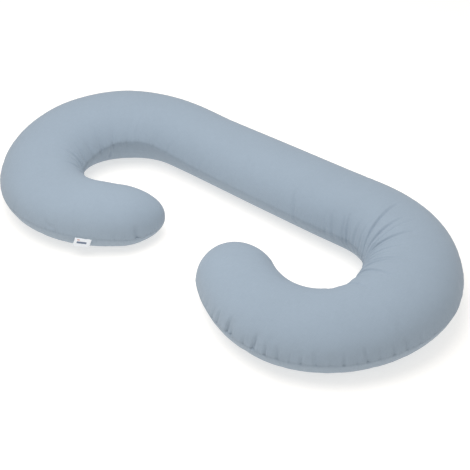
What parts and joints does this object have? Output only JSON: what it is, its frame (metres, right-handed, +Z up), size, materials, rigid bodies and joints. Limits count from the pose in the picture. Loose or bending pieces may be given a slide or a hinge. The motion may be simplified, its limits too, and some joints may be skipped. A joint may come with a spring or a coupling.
{
  "type": "c-shaped pregnancy pillow",
  "caption": "Long stuffed cotton body pillow bent into a C, with round arm ends and a small sewn-in label, lying flat to support the whole body.",
  "frame": {"origin": "middle of the pillow's outline, on the surface that it lies on", "axes": "+X along the straight back of the C, towards the right arm; the arms hook round towards -Y; +Z up"},
  "size_m": [1.4832, 0.7458, 0.1842],
  "materials": {
    "cotton_cover": "matt plain-weave blue-grey cotton, softly creased",
    "label_tape": "white woven tape"
  },
  "bodies": {
    "root": {"filled_body": "cotton_cover", "side_label": "label_tape"}
  },
  "joints": []
}
